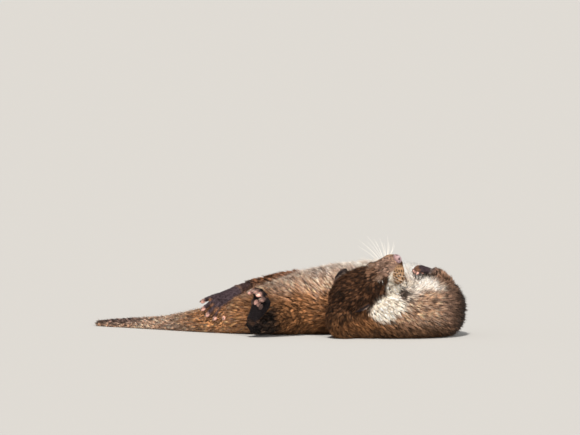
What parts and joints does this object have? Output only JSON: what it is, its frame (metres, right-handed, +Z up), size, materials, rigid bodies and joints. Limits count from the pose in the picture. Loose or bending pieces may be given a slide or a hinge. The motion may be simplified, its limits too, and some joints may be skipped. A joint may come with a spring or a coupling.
{
  "type": "eurasian otter",
  "caption": "Life-size Eurasian otter asleep on its back, curled with its head folded against its chest, as a still museum model.",
  "frame": {"origin": "on the floor under the middle of the whole animal's box", "axes": "+Z up; the belly faces +Z; the tail points to -X and a little to +Y; the head end turns round at +X towards -Y, where the camera side is"},
  "size_m": [0.7386, 0.3664, 0.2041],
  "materials": {
    "coat": "dense brown fur, pale cream on throat and chest, pale tips",
    "bare_skin": "short dark fur on the backs of the feet, bare dark soles with pink pads",
    "nose_skin": "moist pebbled pinkish brown nose pad",
    "eye": "dark wet eye, almost shut",
    "whisker": "stiff white whiskers"
  },
  "bodies": {
    "root": {"tail_tip": "coat", "tail_middle": "coat", "tail_base": "coat", "rump": "coat", "belly": "coat", "chest": "coat", "shoulders": "coat", "neck_base": "coat", "neck": "coat", "head": "coat", "muzzle": "coat", "jaw": "coat", "hind_left_leg": "coat", "hind_right_thigh": "coat", "hind_right_shank": "coat", "fore_right_leg": "coat", "fore_left_leg": "coat", "ear_left": "coat", "ear_right": "coat", "hind_left_foot": "bare_skin", "hind_right_foot": "bare_skin", "fore_right_paw": "bare_skin", "fore_left_paw": "bare_skin", "nose": "nose_skin", "eye_left": "eye", "eye_right": "eye", "whisker_left_1": "whisker", "whisker_left_2": "whisker", "whisker_left_3": "whisker", "whisker_right_1": "whisker", "whisker_right_2": "whisker"}
  },
  "joints": []
}
